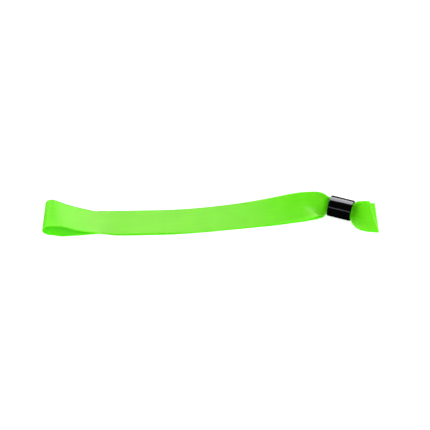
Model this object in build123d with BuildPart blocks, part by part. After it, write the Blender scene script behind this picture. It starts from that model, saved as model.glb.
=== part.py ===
from build123d import *
from math import cos, radians, sin
import os

# Ribbon wristband with a sliding barrel lock, lying on a table. Millimetres, +Z up.
# The origin is on the table, under the middle of the stretch of ribbon that lies flat.
# +X runs along the band towards the lock, and the wrist loop's fold is at the -X end.

# Ribbon
ribbon_width = 15.0
ribbon_thickness = 0.35
layer_pitch = 0.5  # from the middle of one layer to the middle of the other, where they lie together

# Wrist loop, where the folded ribbon springs open
fold_x = -43.6  # where the fold's bend starts in both layers
fold_bulge_near = 4.7  # how far the bend stands out past fold_x at the near edge
fold_bulge_far = 3.45
fold_steps = 8

# Barrel lock
barrel_length = 12.0
barrel_radius = 5.3
bore_radius = 4.3
wall_middle_radius = (barrel_radius + bore_radius) / 2
barrel_x = 102.3
barrel_y = 5.55
barrel_yaw = -17.5  # degrees from +X
barrel_roll = 37.0  # how far the open side of the gathered ribbon leans towards the near side
outer_rim_chamfer = 0.25
bore_rim_chamfer = 0.35

# One-way tongue inside the lock, in the lock's own axes: along the bore, and from its axis to the wall
tongue_width = 2.4
tongue_groove_width = 2.8
groove_floor = 4.65
tongue_top = 4.58
tongue_root_start = -5.3
tongue_pivot_x = -2.8
tongue_root_bottom = 3.65
tongue_heel = 0.8  # how far before the pivot the root's underside ends
tooth_pitch = 1.0
tooth_count = 3
tooth_start = 0.4
tooth_root = -2.4
tooth_tip = -3.02
tongue_nose_top = -1.8

# The gathered ribbon inside the bore, as the bend of the surface midway between its two layers
wall_clearance = 0.1
gather_radius = bore_radius - wall_clearance - ribbon_thickness / 2 - layer_pitch / 2
gather_bend = 1 / gather_radius
layers_mid = ribbon_thickness / 2 + layer_pitch / 2


def across(yaw, tilt):
    """Directions along the ribbon, across it towards its far edge, and out of its upper face."""
    along = Vector(cos(radians(yaw)), sin(radians(yaw)), 0)
    level = Vector(-sin(radians(yaw)), cos(radians(yaw)), 0)
    upright = along.cross(level)
    width_direction = level * cos(radians(tilt)) + upright * sin(radians(tilt))
    face_direction = upright * cos(radians(tilt)) - level * sin(radians(tilt))
    return along, width_direction, face_direction


lock_along, lock_across, lock_open = across(barrel_yaw, barrel_roll)
lock_centre = Vector(barrel_x, barrel_y, barrel_radius)
mouth_run = barrel_length / 2  # how far from its centre the lock holds the ribbon fully gathered
valley_in = lock_centre - lock_along * mouth_run - lock_open * gather_radius
valley_out = lock_centre + lock_along * mouth_run - lock_open * gather_radius

# Stations along the two layers where they run together: x, y, z of the middle of the width, midway
# between the layers, then yaw, tilt of the far edge upwards, and bend across the width in 1/mm.
# The three level stations round the origin make the plane face that the band rests on.
together = [
    (-19.5, -0.25, layers_mid + 0.70, 1.0, -4.0, 0),
    (-10.0, -0.21, layers_mid, 1.2, 0, 0),
    (0.0, 0.0, layers_mid, 1.2, 0, 0),
    (10.0, 0.21, layers_mid, 1.2, 0, 0),
    (16.0, 0.37, 0.51, 2.5, 0.6, 0),
    (24.0, 0.88, 0.64, 4.5, 1.6, 0),
    (34.0, 1.85, 0.79, 6.4, 2.7, 0),
    (46.0, 3.17, 0.99, 6.4, 4.2, 0),
    (56.0, 4.45, 1.31, 6.4, 6.6, 0),
    (63.5, 5.30, 1.90, 6.4, 10.5, 0),
    (72.0, 6.15, 2.95, 6.0, 16.5, 0.009),
    (79.0, 7.00, 3.80, 4.0, 22.5, 0.016),
    (85.0, 7.60, 4.15, 0.0, 27.0, 0.026),
    (89.5, 7.70, 4.08, -5.0, 31.5, 0.064),
    (93.0, 7.70, 3.42, -11.0, 34.0, 0.135),
    (95.2, 8.10, 2.85, -15.0, 36.0, 0.190),
    (valley_in.X, valley_in.Y, valley_in.Z, barrel_yaw, barrel_roll, gather_bend),
    (valley_out.X, valley_out.Y, valley_out.Z, barrel_yaw, barrel_roll, gather_bend),
    (109.8, 4.6, 2.60, -15.0, 37.0, 0.175),
    (111.6, 2.6, 3.10, -8.0, 36.0, 0.100),
    (115.0, 0.85, 4.0, 2.0, 36.0, 0.045),
    (120.40, -0.46, 4.9, 10.0, 36.0, 0.015),
]

# The lower layer of the open loop lies on its near edge, and its far edge lifts towards the fold.
loop_lower = [
    (-22.0, -0.55, 1.00, 0, -4.0, 0),
    (-28.0, -0.75, 0.72, 0, -1.5, 0),
    (-33.5, -0.85, 0.68, 0, 2.0, 0),
    (-38.6, -1.10, 1.08, 0, 7.0, 0),
    (fold_x, -0.55, 1.94, 0, 13.0, 0),
]

# The upper layer arches over the loop's opening.
loop_upper = [
    (fold_x, -0.55, 9.30, 0, 11.0, 0),
    (-40.0, -0.95, 8.82, 0, 3.4, 0),
    (-36.5, -1.00, 7.38, 0, -1.7, 0),
    (-32.0, -0.95, 5.29, 0, -2.0, 0),
    (-27.0, -0.75, 3.33, 0, -3.6, 0),
    (-22.0, -0.60, 1.75, 0, -6.0, 0),
]


def strip_section(plane, bend, side):
    """The ribbon's cut face, flat or bent across its width towards the side given."""
    with BuildSketch(plane) as section:
        if bend == 0:
            Rectangle(ribbon_width, ribbon_thickness)
        else:
            radius = 1 / bend
            half_angle = ribbon_width * bend / 2
            with BuildLine():
                faces = []
                for r in (radius - ribbon_thickness / 2, radius + ribbon_thickness / 2):
                    near = (-r * sin(half_angle), side * (radius - r * cos(half_angle)))
                    middle = (0, side * (radius - r))
                    far = (r * sin(half_angle), side * (radius - r * cos(half_angle)))
                    faces.append(ThreePointArc(near, middle, far))
                Line(faces[0] @ 0, faces[1] @ 0)
                Line(faces[0] @ 1, faces[1] @ 1)
            make_face()
    return section.sketch


def layer_section(station, side, offset):
    """A section of the upper layer (side 1) or the lower layer (side -1) at a station."""
    x, y, z, yaw, tilt, bend = station
    along, width_direction, face_direction = across(yaw, tilt)
    centre = Vector(x, y, z) + face_direction * (side * offset)
    own_bend = 0 if bend == 0 else 1 / (1 / bend - side * offset)
    return strip_section(Plane(centre, x_dir=width_direction, z_dir=along * side), own_bend, side)


def edges_of(station):
    x, y, z, yaw, tilt, bend = station
    width_direction = across(yaw, tilt)[1]
    near = Vector(x, y, z) - width_direction * (ribbon_width / 2)
    far = Vector(x, y, z) + width_direction * (ribbon_width / 2)
    return near, far


def fold_section(angle):
    """A section round the fold's bend: -90 degrees is the lower layer, and 90 the upper layer."""
    low_near, low_far = edges_of(loop_lower[-1])
    high_near, high_far = edges_of(loop_upper[0])
    out = cos(radians(angle))
    up = sin(radians(angle))
    near = (low_near + high_near) / 2 + (high_near - low_near) * (up / 2)
    near -= Vector(fold_bulge_near * out, 0, 0)
    far = (low_far + high_far) / 2 + (high_far - low_far) * (up / 2)
    far -= Vector(fold_bulge_far * out, 0, 0)
    width_direction = (far - near).normalized()
    climb = (high_near - low_near + high_far - low_far) * (out / 4)
    along = climb + Vector((fold_bulge_near + fold_bulge_far) / 2 * up, 0, 0)
    along = along - width_direction * along.dot(width_direction)
    return strip_section(Plane((near + far) / 2, x_dir=width_direction, z_dir=along.normalized()), 0, 1)


# From the lower layer's loose end, through the lock, round the fold and back to the upper layer's end
sections = [layer_section(station, -1, layer_pitch / 2) for station in reversed(together)]
sections += [layer_section(station, -1, 0) for station in loop_lower]
sections += [fold_section(-90 + 180 * step / fold_steps) for step in range(1, fold_steps)]
sections += [layer_section(station, 1, 0) for station in loop_upper]
sections += [layer_section(station, 1, layer_pitch / 2) for station in together]
with BuildPart() as ribbon:
    loft(sections, ruled=True)
ribbon.part.label = "ribbon"

# A moulded tube with softened rims, and a groove in the bore's wall that the tongue is rooted in.
barrel_plane = Plane(lock_centre, x_dir=lock_across, z_dir=lock_along)
with BuildPart() as lock_barrel:
    with BuildSketch(barrel_plane):
        Circle(barrel_radius)
        Circle(bore_radius, mode=Mode.SUBTRACT)
    extrude(amount=barrel_length / 2, both=True)
    rims = lock_barrel.edges().filter_by(GeomType.CIRCLE)
    chamfer(rims.filter_by(lambda rim: rim.radius > wall_middle_radius), length=outer_rim_chamfer)
    bore_rims = lock_barrel.edges().filter_by(GeomType.CIRCLE)
    chamfer(bore_rims.filter_by(lambda rim: rim.radius < wall_middle_radius), length=bore_rim_chamfer)
    with BuildSketch(barrel_plane):
        with Locations((0, groove_floor / 2)):
            Rectangle(tongue_groove_width, groove_floor)
    extrude(amount=barrel_length, both=True, mode=Mode.SUBTRACT)
lock_barrel.part.label = "lock_barrel"

# The tongue's root fills the groove at the loop end. Its arm slopes across the bore, with teeth that
# let ribbon pass towards the tails and bite when it is pulled back.
tongue_plane = Plane(lock_centre, x_dir=lock_along, z_dir=lock_along.cross(lock_open))
tooth_end = tooth_start + tooth_count * tooth_pitch
with BuildPart() as lock_tongue:
    with BuildSketch(tongue_plane):
        with BuildLine():
            outline = [(tooth_start, tooth_root)]
            for tooth in range(tooth_count):
                tip_x = tooth_start + (tooth + 1) * tooth_pitch
                outline.append((tip_x, tooth_tip))
                if tooth < tooth_count - 1:
                    outline.append((tip_x, tooth_root))
            outline += [
                (tooth_end, tongue_nose_top),
                (tongue_pivot_x, tongue_top),
                (tongue_root_start, tongue_top),
                (tongue_root_start, tongue_root_bottom),
                (tongue_pivot_x - tongue_heel, tongue_root_bottom),
            ]
            Polyline(*outline, close=True)
        make_face()
    extrude(amount=tongue_width / 2, both=True)
lock_tongue.part.label = "lock_tongue"

os.makedirs("parts", exist_ok=True)
export_step(ribbon.part, "parts/ribbon.step")
export_step(lock_barrel.part, "parts/lock_barrel.step")
export_step(lock_tongue.part, "parts/lock_tongue.step")

pivot = lock_centre + lock_along * tongue_pivot_x + lock_open * tongue_top
print("tongue pivot", pivot, "axis", lock_along.cross(lock_open))
print("lock along", lock_along, "open side", lock_open)
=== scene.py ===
import math

import bmesh
import bpy
from mathutils import Matrix, Vector


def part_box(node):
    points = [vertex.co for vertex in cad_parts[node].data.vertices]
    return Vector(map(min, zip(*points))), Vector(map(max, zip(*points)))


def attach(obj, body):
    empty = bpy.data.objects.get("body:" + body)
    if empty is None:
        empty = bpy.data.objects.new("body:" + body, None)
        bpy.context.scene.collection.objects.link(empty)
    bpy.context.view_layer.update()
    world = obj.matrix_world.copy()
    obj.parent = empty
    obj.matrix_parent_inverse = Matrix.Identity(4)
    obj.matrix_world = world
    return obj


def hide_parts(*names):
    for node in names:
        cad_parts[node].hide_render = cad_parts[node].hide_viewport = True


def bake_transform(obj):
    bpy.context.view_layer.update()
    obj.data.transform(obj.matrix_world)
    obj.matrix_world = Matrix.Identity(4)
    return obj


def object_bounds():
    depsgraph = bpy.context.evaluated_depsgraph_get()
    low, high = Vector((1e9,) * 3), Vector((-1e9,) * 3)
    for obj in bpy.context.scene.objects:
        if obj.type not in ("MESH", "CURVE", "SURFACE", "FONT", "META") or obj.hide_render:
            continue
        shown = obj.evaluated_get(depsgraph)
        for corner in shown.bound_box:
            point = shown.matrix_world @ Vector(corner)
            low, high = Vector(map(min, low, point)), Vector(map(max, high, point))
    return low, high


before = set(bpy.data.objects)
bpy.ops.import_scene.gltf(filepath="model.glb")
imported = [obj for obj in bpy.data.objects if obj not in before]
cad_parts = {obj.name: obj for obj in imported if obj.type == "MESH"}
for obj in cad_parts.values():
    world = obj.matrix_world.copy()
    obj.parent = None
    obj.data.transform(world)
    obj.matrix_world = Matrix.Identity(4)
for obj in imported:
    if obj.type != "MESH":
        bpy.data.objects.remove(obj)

cadLow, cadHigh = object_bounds()
mm = 0.001
print("frame loaded:", sorted(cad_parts))

# The lock's place comes from its CAD node. Its yaw and roll are how it lies on the table.
lockPlace = {"yaw": -17.5, "roll": 37.0, "length": 12.0 * mm, "radius": 5.3 * mm, "bore": 4.3 * mm}
lockLow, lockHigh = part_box("lock_barrel")
lockCentre = (lockLow + lockHigh) / 2


def directions(yaw, tilt):
    # Along the ribbon, across it to its far edge, and out of its upper face
    yaw, tilt = math.radians(yaw), math.radians(tilt)
    along = Vector((math.cos(yaw), math.sin(yaw), 0))
    level = Vector((-math.sin(yaw), math.cos(yaw), 0))
    upright = Vector((0, 0, 1))
    across = level * math.cos(tilt) + upright * math.sin(tilt)
    face = upright * math.cos(tilt) - level * math.sin(tilt)
    return along, across, face


lockAlong, lockAcross, lockOpen = directions(lockPlace["yaw"], lockPlace["roll"])


def toLinear(code):
    # sRGB hex to the opaque linear colour that shaders take
    parts = [int(code[i:i + 2], 16) / 255 for i in (0, 2, 4)]
    return [c / 12.92 if c <= 0.04045 else ((c + 0.055) / 1.055) ** 2.4 for c in parts] + [1.0]


def addNode(tree, kind, settings=None, links=None):
    # A setting's name is a socket, by name or number, or else a property of the node
    made = tree.nodes.new("ShaderNode" + kind)
    for name, value in (settings or {}).items():
        if isinstance(name, int) or name in made.inputs:
            made.inputs[name].default_value = value
        else:
            setattr(made, name, value)
    for name, source in (links or {}).items():
        tree.links.new(source, made.inputs[name])
    return made


def newMaterial(name):
    made = bpy.data.materials.new(name)
    made.use_nodes = True
    made.node_tree.nodes.clear()
    return made, made.node_tree


ribbonSizes = {
    "width": 15.0 * mm,
    "thickness": 0.30 * mm,
    "pitch": 0.36 * mm,  # between the middles of the two layers
    "boreClearance": 0.1 * mm,
    "bulgeNear": 4.7 * mm,  # how far the fold stands out past its start, at the near edge
    "bulgeFar": 3.45 * mm,
    "foldSteps": 8,
    "cellLong": 0.42 * mm,
    "cellsAcross": 36,
    "bendSteps": 16,  # from the middle of the width to a point of it
    "slant": 3.0 * mm,  # how much shorter the upper tail is at its far edge
    "cutHighlightWidth": 0.5 * mm,  # how far in from a cut the painted highlight reaches
    "cutKept": 5.0 * mm,  # how much of a tail's end keeps its shape as the lock slides
    "blendIn": 6.0 * mm,  # how much of the loop beside the lock slides with it
}

satinLook = {
    "face": "64dc12",  # lime dyed polyester
    "deep": "5cd30c",
    # the cut colour is a painted highlight along the cut ends
    "cut": "9af45c",
    "threadPitch": 0.5 * mm,  # real floats are 0.1 mm apart; drawn coarser so that they show
    "rowPitch": 0.7 * mm,
    "rowSlant": 0.4,
    "rowDepth": 0.35,  # against the floats' own height
    "relief": 0.04 * mm,
    "streakLong": 16.667 * mm,
    "streakWide": 0.4545 * mm,
    "cloud": 11.11 * mm,
    "toneLow": 0.12,  # of the streaks times the clouds, for the deep colour and for the face colour
    "toneHigh": 0.42,
    "selvedge": 0.9 * mm,
    "selvedgeFade": 0.36 * mm,
    "roughness": 0.44,
    "selvedgeRoughness": 0.58,
}


def satinRibbon():
    # Woven polyester satin: long floats along the ribbon give a soft sheen, brightest across them
    look = satinLook
    material, tree = newMaterial("polyesterSatinWoven")
    flat = addNode(tree, "UVMap", {"uv_map": "flat"})
    place = addNode(tree, "SeparateXYZ", links={"Vector": flat.outputs["UV"]})
    # The dye takes a little unevenly, in streaks along the threads and in broad clouds
    streaks = (1 / look["streakLong"], 1 / look["streakWide"], 1)
    stretch = addNode(tree, "VectorMath", {"operation": "MULTIPLY", 1: streaks}, {0: flat.outputs["UV"]})
    dye = addNode(tree, "TexNoise", {"Scale": 1.0, "Detail": 3.0, "Roughness": 0.6},
                  {"Vector": stretch.outputs[0]})
    cloudy = addNode(tree, "TexNoise", {"Scale": 1 / look["cloud"], "Detail": 2.0},
                     {"Vector": flat.outputs["UV"]})
    blend = addNode(tree, "Math", {"operation": "MULTIPLY"},
                    {0: dye.outputs["Fac"], 1: cloudy.outputs["Fac"]})
    tone = addNode(tree, "MapRange", {"From Min": look["toneLow"], "From Max": look["toneHigh"]},
                   {"Value": blend.outputs[0]})
    cloth = addNode(tree, "Mix", {"data_type": "RGBA", 6: toLinear(look["deep"]), 7: toLinear(look["face"])},
                    {0: tone.outputs["Result"]})
    # Painted highlight: the cuts are painted paler, where their edges catch the light
    cut = addNode(tree, "Attribute", {"attribute_name": "cutHighlightMask"})
    colour = addNode(tree, "Mix", {"data_type": "RGBA", 7: toLinear(look["cut"])},
                     {0: cut.outputs["Fac"], 6: cloth.outputs[2]})
    # Floats run along the ribbon, and every row of them is stepped by the weft beneath
    floatPhase = addNode(tree, "Math", {"operation": "MULTIPLY", 1: 2 * math.pi / look["threadPitch"]},
                         {0: place.outputs["Y"]})
    rowPhase = addNode(tree, "Math", {"operation": "MULTIPLY", 1: 2 * math.pi / look["rowPitch"]},
                       {0: place.outputs["X"]})
    stepped = addNode(tree, "Math", {"operation": "MULTIPLY_ADD", 1: look["rowSlant"]},
                      {0: floatPhase.outputs[0], 2: rowPhase.outputs[0]})
    floats = addNode(tree, "Math", {"operation": "SINE"}, {0: floatPhase.outputs[0]})
    rows = addNode(tree, "Math", {"operation": "SINE"}, {0: stepped.outputs[0]})
    weave = addNode(tree, "Math", {"operation": "MULTIPLY_ADD", 1: look["rowDepth"]},
                    {0: rows.outputs[0], 2: floats.outputs[0]})
    # The selvedge is a plain weave, tighter and a little rougher than the satin between
    fromMiddle = addNode(tree, "Math", {"operation": "ABSOLUTE"}, {0: place.outputs["Y"]})
    selvedgeStart = ribbonSizes["width"] / 2 - look["selvedge"]
    edge = addNode(tree, "MapRange",
                   {"From Min": selvedgeStart, "From Max": selvedgeStart + look["selvedgeFade"]},
                   {"Value": fromMiddle.outputs[0]})
    edgeTurns = addNode(tree, "Math", {"operation": "SINE"}, {0: rowPhase.outputs[0]})
    height = addNode(tree, "Mix", {"data_type": "FLOAT"},
                     {0: edge.outputs["Result"], 2: weave.outputs[0], 3: edgeTurns.outputs[0]})
    bump = addNode(tree, "Bump", {"Strength": 0.25, "Distance": look["relief"]},
                   {"Height": height.outputs[0]})
    roughness = addNode(tree, "MapRange", {"To Min": look["roughness"], "To Max": look["selvedgeRoughness"]},
                        {"Value": edge.outputs["Result"]})
    tangent = addNode(tree, "Tangent", {"direction_type": "UV_MAP", "uv_map": "flat"})
    surface = addNode(tree, "BsdfPrincipled",
                      {"IOR": 1.54, "Specular IOR Level": 0.32, "Specular Tint": toLinear("ffe1a6"),
                       "Anisotropic": 0.4, "Anisotropic Rotation": 0.25,
                       "Subsurface Weight": 0.8, "Subsurface Radius": (0.4, 1.0, 0.2),
                       "Subsurface Scale": 0.8 * mm,
                       "Sheen Weight": 0.12, "Sheen Roughness": 0.5, "Sheen Tint": toLinear("ffe27e")},
                      {"Base Color": colour.outputs[2], "Roughness": roughness.outputs["Result"],
                       "Normal": bump.outputs["Normal"], "Tangent": tangent.outputs["Tangent"]})
    addNode(tree, "OutputMaterial", links={"Surface": surface.outputs["BSDF"]})
    return material


plasticLook = {
    "colour": "040405",
    "clearest": 0.10,  # roughness where the polish is best, and where it is most hazed
    "haziest": 0.15,
    "haze": 4.0 * mm,
    "grain": 0.35 * mm,
    "grainDepth": 0.01 * mm,
}


def mouldedPlastic():
    # Polished injection-moulded ABS: near mirror, with faint flow and handling haze
    look = plasticLook
    material, tree = newMaterial("blackAbsMoulded")
    place = addNode(tree, "TexCoord")
    haze = addNode(tree, "TexNoise", {"Scale": 1 / look["haze"], "Detail": 3.0},
                   {"Vector": place.outputs["Object"]})
    fine = addNode(tree, "TexNoise", {"Scale": 1 / look["grain"], "Detail": 2.0},
                   {"Vector": place.outputs["Object"]})
    roughness = addNode(tree, "MapRange", {"To Min": look["clearest"], "To Max": look["haziest"]},
                        {"Value": haze.outputs["Fac"]})
    bump = addNode(tree, "Bump", {"Strength": 0.04, "Distance": look["grainDepth"]},
                   {"Height": fine.outputs["Fac"]})
    surface = addNode(tree, "BsdfPrincipled",
                      {"Base Color": toLinear(look["colour"]), "IOR": 1.5,
                       "Specular Tint": toLinear("f4f2ff")},
                      {"Roughness": roughness.outputs["Result"], "Normal": bump.outputs["Normal"]})
    addNode(tree, "OutputMaterial", links={"Surface": surface.outputs["BSDF"]})
    return material


satin = satinRibbon()
plastic = mouldedPlastic()
print("materials made")

# Both layers are rolled to the bore inside the lock, and lie on the table where they are flat
layerOffset = ribbonSizes["pitch"] / 2
outerSkin = ribbonSizes["thickness"] / 2 + layerOffset
gatherRadius = lockPlace["bore"] - ribbonSizes["boreClearance"] - outerSkin
restHeight = (cadLow.z + outerSkin) / mm
mouthRun = lockPlace["length"] / 2


def lockStation(run):
    middle = lockCentre + lockAlong * run - lockOpen * gatherRadius
    return (*(middle / mm), lockPlace["yaw"], lockPlace["roll"], mm / gatherRadius, 0.0, 0.0, 0.0)


lockMiddle = lockStation(0)
# x, y, z in mm where the layers run together, then yaw, tilt, bend across the width in 1/mm, how far
# the bend gathers at the near edge, and how far in mm the lower layer slips out at the near edge and
# the upper layer at the far edge
together = [
    (-19.5, -0.25, restHeight + 0.70, 1.0, -4.0, 0.0, 0.0, 0.0, 0.0),
    (-10.0, -0.21, restHeight, 1.2, 0.0, 0.0, 0.0, 0.25, 0.15),
    (10.0, 0.21, restHeight, 1.2, 0.0, 0.0, 0.0, 0.3, 0.2),
    (16.0, 0.37, 0.42, 2.5, 0.6, 0.0, 0.0, 0.25, 0.15),
    (24.0, 0.82, 0.53, 4.5, 1.5, 0.0, 0.0, 0.1, 0.05),
    (34.0, 1.75, 0.66, 6.4, 2.4, 0.0, 0.0, 0.05, 0.0),
    (46.0, 3.12, 0.89, 6.4, 4.2, 0.0, 0.0, 0.05, 0.0),
    (56.0, 4.45, 1.24, 6.4, 6.6, 0.0, 0.0, 0.2, 0.0),
    (63.5, 5.30, 1.90, 6.4, 10.5, 0.0, 0.0, 0.3, 0.0),
    (72.0, 6.15, 2.95, 6.0, 16.5, 0.009, 1.0, 0.3, 0.0),
    (79.0, 7.00, 3.80, 4.0, 22.5, 0.016, 0.8, 0.4, 0.0),
    (85.0, 7.60, 4.15, 0.0, 27.0, 0.026, 0.8, 0.5, 0.0),
    (89.5, 7.70, 4.08, -5.0, 31.5, 0.060, 0.9, 0.7, 0.0),
    (93.0, 7.70, 3.42, -11.0, 34.0, 0.138, 0.6, 0.3, 0.0),
    (95.2, 8.10, 2.85, -15.0, 36.0, 0.190, 0.1, 0.1, 0.0),
    lockStation(-mouthRun),
    lockMiddle,
    lockStation(mouthRun),
    (109.8, 4.6, 2.60, -15.0, 37.0, 0.175, 0.0, 0.0, 0.1),
    (111.6, 2.6, 3.10, -8.0, 36.0, 0.100, 0.0, 0.0, 0.35),
    (115.0, 0.85, 4.0, 2.0, 36.0, 0.045, 0.0, 0.0, 0.8),
    (120.40, -0.46, 4.9, 10.0, 36.0, 0.015, 0.0, 0.0, 0.8),
]
# The same first six values for each layer alone round the wrist loop
loopLower = [
    (-22.0, -0.55, 1.00, 0.0, -4.0, 0.0),
    (-28.0, -0.75, 0.72, 0.0, -1.5, 0.0),
    (-33.5, -0.85, 0.68, 0.0, 2.0, 0.0),
    (-38.6, -1.10, 1.14, 0.0, 7.0, 0.0),
    (-43.6, -0.55, 1.98, 0.0, 13.0, 0.0),
]
loopUpper = [
    (-43.6, -0.55, 9.30, 0.0, 11.0, 0.0),
    (-40.0, -0.95, 8.82, 0.0, 3.4, 0.0),
    (-36.5, -1.00, 7.38, 0.0, -1.7, 0.0),
    (-32.0, -0.95, 5.29, 0.0, -2.0, 0.0),
    (-27.0, -0.75, 3.33, 0.0, -3.6, 0.0),
    (-22.0, -0.60, 1.75, 0.0, -6.0, 0.0),
]
# Radians and mm: a pleat that runs aslant from the middle to the near edge as the ribbon gathers,
# and the droop of the lower layer's near edge beneath it
gatherFolds = {
    "from": 80.5,
    "to": 97.0,
    "depth": 0.58,
    "start": 1.1,  # where the pleat is across the width, at its two ends
    "end": -6.4,
    "reach": 2.1,
    "droop": 0.32,
    "droopAcross": (4.5, 5.5),  # from the middle of the width towards the near edge
    "droopGrows": (62.0, 74.0),
    "droopFades": (96.0, 93.0),
}


def ramp(value, none, full):
    # 0 up to none, 1 from full on, and even between. full may be the smaller
    return min(max((value - none) / (full - none), 0), 1)


def layerRib(station, side, offset):
    # A rib is the middle of the width, the directions across and of the bend, the bend and its lean
    x, y, z, yaw, tilt, bend, lean, under, over = (*station, 0.0, 0.0, 0.0)[:9]
    across, face = directions(yaw, tilt)[1:]
    slip = -under if side < 0 else over
    centre = Vector((x, y, z)) * mm + face * side * offset + across * slip * mm
    ownBend = side / (mm / bend - side * offset) if bend > 0 else 0.0
    return centre, across, face * side, ownBend, lean


def foldRib(angle):
    # A rib round the wrist loop's fold: -90 degrees is the lower layer, and 90 the upper layer
    halfWidth = ribbonSizes["width"] / 2
    low, lowAcross = layerRib(loopLower[-1], -1, 0)[:2]
    high, highAcross = layerRib(loopUpper[0], 1, 0)[:2]
    out, up = math.cos(math.radians(angle)), math.sin(math.radians(angle))
    ends = []
    for side, bulge in ((-1, ribbonSizes["bulgeNear"]), (1, ribbonSizes["bulgeFar"])):
        bottom = low + lowAcross * halfWidth * side
        top = high + highAcross * halfWidth * side
        ends.append((bottom + top) / 2 + (top - bottom) * up / 2 - Vector((bulge * out, 0, 0)))
    across = (ends[1] - ends[0]).normalized()
    travel = (high - low) * out / 2 + Vector((ribbonSizes["bulgeNear"] * up, 0, 0))
    face = travel.cross(across).normalized()
    return (ends[0] + ends[1]) / 2, across, face, 0.0, 0.0


# From the lower layer's loose end, through the lock, round the fold and back to the upper layer's end
foldSteps = ribbonSizes["foldSteps"]
ribs = [layerRib(station, -1, layerOffset) for station in reversed(together)]
ribs += [layerRib(station, -1, 0) for station in loopLower]
ribs += [foldRib(-90 + 180 * k / foldSteps) for k in range(1, foldSteps)]
ribs += [layerRib(station, 1, 0) for station in loopUpper]
ribs += [layerRib(station, 1, layerOffset) for station in together]

# How far along the ribbon each rib is
ribAt = [0.0]
for before, after in zip(ribs, ribs[1:]):
    ribAt.append(ribAt[-1] + (after[0] - before[0]).length)


def slope(values, k):
    # Slope against the distance along the ribbon, level at highs and lows so that nothing overshoots
    steps = [(ribAt[i + 1] - ribAt[i], (values[i + 1] - values[i]) / (ribAt[i + 1] - ribAt[i]))
             for i in (k - 1, k) if 0 <= i < len(values) - 1]
    if len(steps) == 1:
        return steps[0][1]
    (before, left), (after, right) = steps
    if left * right <= 0:
        return 0.0
    leftShare, rightShare = 2 * after + before, after + 2 * before
    return (leftShare + rightShare) / (leftShare / left + rightShare / right)


tracks = list(zip(*[(*rib[0], *rib[1], *rib[2], rib[3], rib[4]) for rib in ribs]))
slopes = [[slope(track, k) for k in range(len(ribs))] for track in tracks]


def ribHere(distance):
    # The rib at a distance along the ribbon, on a smooth curve between its neighbours
    k = max(i for i in range(len(ribs) - 1) if ribAt[i] <= distance + 1e-9)
    span = ribAt[k + 1] - ribAt[k]
    t = (distance - ribAt[k]) / span
    values = [track[k] * (2 * t ** 3 - 3 * t ** 2 + 1) + rates[k] * span * (t ** 3 - 2 * t ** 2 + t)
              + track[k + 1] * (3 * t ** 2 - 2 * t ** 3) + rates[k + 1] * span * (t ** 3 - t ** 2)
              for track, rates in zip(tracks, slopes)]
    across = Vector(values[3:6]).normalized()
    face = Vector(values[6:9])
    face = (face - across * face.dot(across)).normalized()
    return Vector(values[:3]), across, face, values[9], values[10]


def foldTurn(x, at, upper):
    # The extra tilt that the gather's folds give at a distance from the middle of the width
    folds = gatherFolds
    share = ramp(x, folds["from"], folds["to"])
    place = folds["start"] + (folds["end"] - folds["start"]) * share
    turn = -folds["depth"] * math.sin(math.pi * share) ** 2 * math.exp(-((at - place) / folds["reach"]) ** 2)
    if not upper:
        turn += (folds["droop"] * ramp(-at, *folds["droopAcross"])
                 * ramp(x, *folds["droopGrows"]) * ramp(x, *folds["droopFades"]))
    return turn


def lie(rib, fromMiddle):
    # Walk from the middle of the width to the point in short steps, turning with the bend
    centre, across, face, bend, lean = rib
    upper = face.z > 0
    run = fromMiddle / ribbonSizes["bendSteps"]
    point = centre.copy()
    for step in range(ribbonSizes["bendSteps"]):
        at = run * (step + 0.5)
        turn = bend * at * (1 - lean * at / ribbonSizes["width"])
        turn += foldTurn(centre.x / mm, at / mm, upper) * (1 if upper else -1)
        point += (across * math.cos(turn) + face * math.sin(turn)) * run
    return point


def layStrip(name, start, end, slant=0.0, cut=None):
    # A flat grid of the ribbon's real size, then every vertex goes where the ribbon lies. The end that
    # cut names is a real one, and the others are hidden in the lock
    width = ribbonSizes["width"]
    cells = max(4, round((end - start) / ribbonSizes["cellLong"]))
    mesh = bmesh.new()
    flatMap = mesh.loops.layers.uv.new("flat")
    cutHighlightMask = mesh.verts.layers.float.new("cutHighlightMask")
    bmesh.ops.create_grid(mesh, x_segments=cells, y_segments=ribbonSizes["cellsAcross"], size=0.5)
    for vertex in mesh.verts:
        share = vertex.co.x + 0.5
        fromMiddle = vertex.co.y * width
        reach = end - slant * (vertex.co.y + 0.5)
        vertex.co = Vector((start + share * (reach - start), fromMiddle, 0))
        # A real cut end gets a painted highlight that fades out a short way in from it
        if cut is not None:
            fromCut = abs(vertex.co.x - (reach if cut == "end" else start))
            vertex[cutHighlightMask] = max(0.0, 1 - fromCut / ribbonSizes["cutHighlightWidth"])
    for face in mesh.faces:
        for loop in face.loops:
            loop[flatMap].uv = loop.vert.co.xy
    ribsKnown = {}
    for vertex in mesh.verts:
        key = round(vertex.co.x, 9)
        if key not in ribsKnown:
            ribsKnown[key] = ribHere(vertex.co.x)
        vertex.co = lie(ribsKnown[key], vertex.co.y)
    for face in mesh.faces:
        face.smooth = True
    data = bpy.data.meshes.new(name)
    mesh.to_mesh(data)
    mesh.free()
    piece = bpy.data.objects.new(name, data)
    bpy.context.scene.collection.objects.link(piece)
    piece.data.materials.append(satin)
    solid = piece.modifiers.new("thickness", "SOLIDIFY")
    solid.thickness = ribbonSizes["thickness"]
    solid.offset = 0
    return piece


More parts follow.
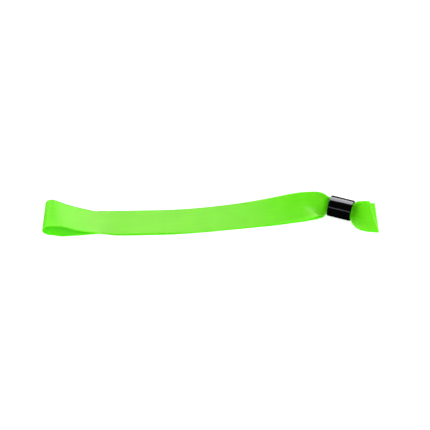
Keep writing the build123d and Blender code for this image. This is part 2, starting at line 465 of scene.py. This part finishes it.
# The three sheets meet in the middle of the lock, where nobody sees it
pastMiddle = len(together) - 1 - together.index(lockMiddle)
ribbonEnd = ribAt[-1]
lowerInside = ribAt[pastMiddle]
upperInside = ribAt[-1 - pastMiddle]
loop = layStrip("ribbon_loop", lowerInside, upperInside)
lowerTail = layStrip("ribbon_tail_lower", 0.0, lowerInside, cut="start")
upperTail = layStrip("ribbon_tail_upper", upperInside, ribbonEnd, slant=ribbonSizes["slant"], cut="end")
print("ribbon laid, mm:", round(ribbonEnd / mm, 1))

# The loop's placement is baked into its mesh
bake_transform(loop)
# Each tail's placement is baked into its mesh
for tail, length in ((lowerTail, lowerInside), (upperTail, ribbonEnd - upperInside)):
    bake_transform(tail)
for piece in (loop, lowerTail, upperTail):
    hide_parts("ribbon")

barrelShape = {"steps": 128, "outerRim": 0.3 * mm, "boreRim": 0.35 * mm, "tolerance": 0.001 * mm}


def barrel():
    # A wall's section is spun about +Z, its rims are rounded, and it is laid on its side in its place
    shape = barrelShape
    bore, radius, tolerance = lockPlace["bore"], lockPlace["radius"], shape["tolerance"]
    mesh = bmesh.new()
    corners = [(bore, -mouthRun), (radius, -mouthRun), (radius, mouthRun), (bore, mouthRun)]
    ring = [mesh.verts.new((r, 0, z)) for r, z in corners]
    edges = [mesh.edges.new((ring[k], ring[(k + 1) % len(ring)])) for k in range(len(ring))]
    bmesh.ops.spin(mesh, geom=ring + edges, cent=(0, 0, 0), axis=(0, 0, 1), angle=2 * math.pi,
                   steps=shape["steps"], use_merge=True)
    bmesh.ops.remove_doubles(mesh, verts=mesh.verts, dist=tolerance)
    bmesh.ops.recalc_face_normals(mesh, faces=mesh.faces)
    outerRims, boreRims = [], []
    for edge in mesh.edges:
        a, b = (v.co for v in edge.verts)
        if abs(a.z - b.z) < tolerance:
            radii = (a.xy.length, b.xy.length)
            if min(radii) > radius - tolerance:
                outerRims.append(edge)
            elif max(radii) < bore + tolerance:
                boreRims.append(edge)
    bmesh.ops.bevel(mesh, geom=outerRims, offset=shape["outerRim"], segments=5, profile=0.5,
                    affect="EDGES", material=-1)
    bmesh.ops.bevel(mesh, geom=[e for e in boreRims if e.is_valid], offset=shape["boreRim"], segments=4,
                    profile=0.5, affect="EDGES", material=-1)
    for face in mesh.faces:
        face.smooth = True
    turn = [lockAcross, lockAlong.cross(lockAcross), lockAlong]
    for vertex in mesh.verts:
        vertex.co = lockCentre + sum((turn[k] * vertex.co[k] for k in range(3)), Vector())
    data = bpy.data.meshes.new("lock_shell")
    mesh.to_mesh(data)
    mesh.free()
    piece = bpy.data.objects.new("lock_shell", data)
    bpy.context.scene.collection.objects.link(piece)
    piece.data.materials.append(plastic)
    return piece


shell = barrel()
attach(shell, "lock")
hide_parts("lock_barrel")
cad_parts["lock_tongue"].data.materials.clear()
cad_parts["lock_tongue"].data.materials.append(plastic)
print("lock made")

# Distances in metres. fieldWidth is how wide a strip the camera takes in where it looks
studio = {
    "floor": "f4f4f4",
    "floorHalf": 3.0,
    "glow": 0.45,
    "sky": 0.92,
    "elevation": 52.5,
    "distance": 1.2,
    "fieldWidth": 218.44 * mm,
    "sensorWidth": 36,
    "lookAt": Vector((38.6 * mm, 5.23 * mm, cadLow.z)),
}


def addFloor():
    mesh = bmesh.new()
    bmesh.ops.create_grid(mesh, x_segments=1, y_segments=1, size=studio["floorHalf"],
                          matrix=Matrix.Translation((0, 0, cadLow.z)))
    data = bpy.data.meshes.new("floor")
    mesh.to_mesh(data)
    mesh.free()
    floor = bpy.data.objects.new("floor", data)
    bpy.context.scene.collection.objects.link(floor)
    material, tree = newMaterial("paperSweep")
    surface = addNode(tree, "BsdfPrincipled",
                      {"Base Color": toLinear(studio["floor"]), "Roughness": 0.9, "Specular IOR Level": 0.0,
                       "Emission Color": (1, 1, 1, 1), "Emission Strength": studio["glow"]})
    addNode(tree, "OutputMaterial", links={"Surface": surface.outputs["BSDF"]})
    floor.data.materials.append(material)
    floor.visible_glossy = False


def addLight(name, elevation, azimuth, distance, size, watts, seenBy):
    # Azimuth 0 is in front of the object, and 180 behind it. A light seen by gloss makes highlights
    # alone, and one seen by cloth lights up colours alone
    data = bpy.data.lights.new(name, "AREA")
    data.shape = "RECTANGLE"
    data.size, data.size_y = size
    data.energy = watts
    light = bpy.data.objects.new(name, data)
    height, turn = math.radians(elevation), math.radians(azimuth)
    level = Vector((math.sin(turn), -math.cos(turn), 0)) * math.cos(height)
    towards = level + Vector((0, 0, math.sin(height)))
    light.location = studio["lookAt"] + towards * distance
    light.rotation_euler = (-towards).to_track_quat("-Z", "Y").to_euler()
    light.visible_diffuse = seenBy != "gloss"
    light.visible_glossy = seenBy != "cloth"
    bpy.context.scene.collection.objects.link(light)


addFloor()
addLight("softboxBehind", elevation=36, azimuth=180, distance=1.0, size=(2.4, 0.92), watts=56,
         seenBy="gloss")
addLight("stripFront", elevation=36, azimuth=0, distance=1.2, size=(1.8, 0.10), watts=2.0,
         seenBy="gloss")
addLight("fillFront", elevation=50, azimuth=0, distance=1.2, size=(1.6, 0.8), watts=9.0,
         seenBy="cloth")

world = bpy.data.worlds.new("studio")
world.use_nodes = True
worldTree = world.node_tree
worldTree.nodes.clear()
sky = addNode(worldTree, "Background", {"Color": (1, 1, 1, 1), "Strength": studio["sky"]})
addNode(worldTree, "OutputWorld", links={"Surface": sky.outputs["Background"]})
bpy.context.scene.world = world
world.cycles_visibility.glossy = False
bpy.context.scene.view_settings.view_transform = "Standard"

cameraData = bpy.data.cameras.new("camera")
cameraData.sensor_width = studio["sensorWidth"]
cameraData.lens = studio["sensorWidth"] * studio["distance"] / studio["fieldWidth"]
camera = bpy.data.objects.new("camera", cameraData)
rise = math.radians(studio["elevation"])
back = Vector((0, -math.cos(rise), math.sin(rise)))
camera.location = studio["lookAt"] + back * studio["distance"]
camera.rotation_euler = (-back).to_track_quat("-Z", "Y").to_euler()
bpy.context.scene.collection.objects.link(camera)
bpy.context.scene.camera = camera
print("studio set")
